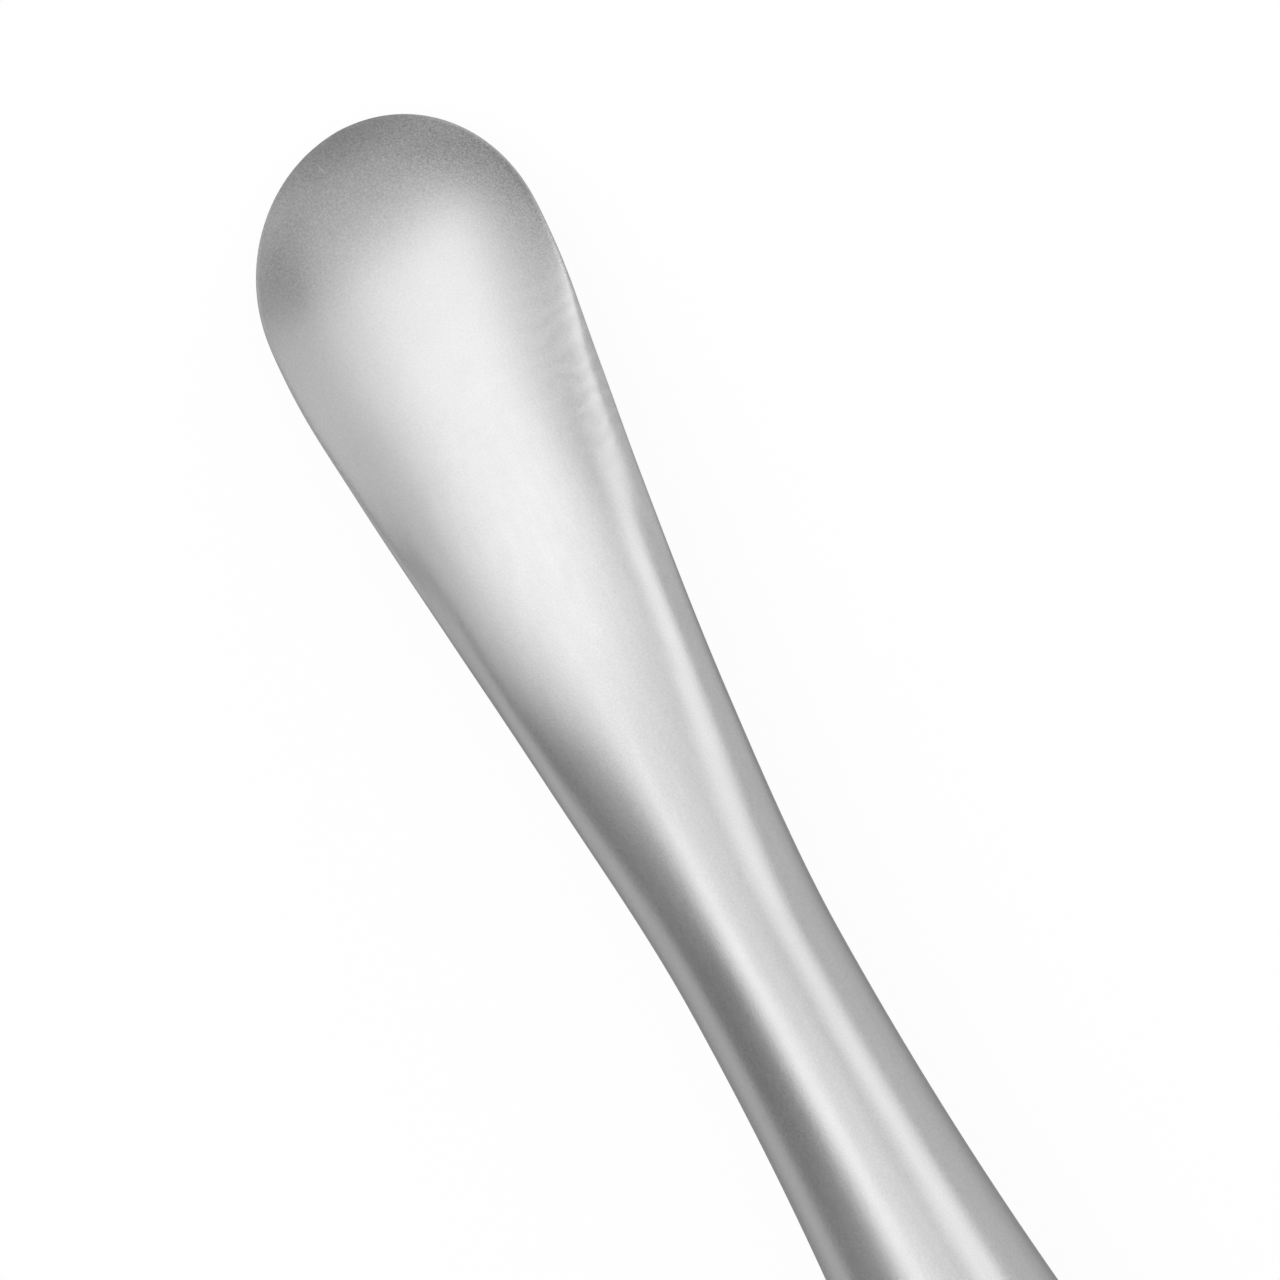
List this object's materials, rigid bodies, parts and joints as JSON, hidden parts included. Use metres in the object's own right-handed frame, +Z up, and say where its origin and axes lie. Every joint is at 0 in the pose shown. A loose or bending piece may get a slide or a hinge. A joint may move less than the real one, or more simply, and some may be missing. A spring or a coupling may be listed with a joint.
{
  "type": "septum elevator",
  "caption": "Slim double-ended septum elevator in satin steel: crowned, round-ended blades on slender necks that flare into a round handle with flats.",
  "frame": {"origin": "on the lower flat of the handle, half way along the instrument", "axes": "+X along the handle towards the blunt blade, +Z up, away from the surface the handle rests on"},
  "size_m": [0.185, 0.008, 0.0072],
  "materials": {
    "satin_steel": "satin stainless steel with a fine ground and blasted grain, no clear mirror image"
  },
  "bodies": {
    "root": {"elevator": "satin_steel"}
  },
  "joints": []
}
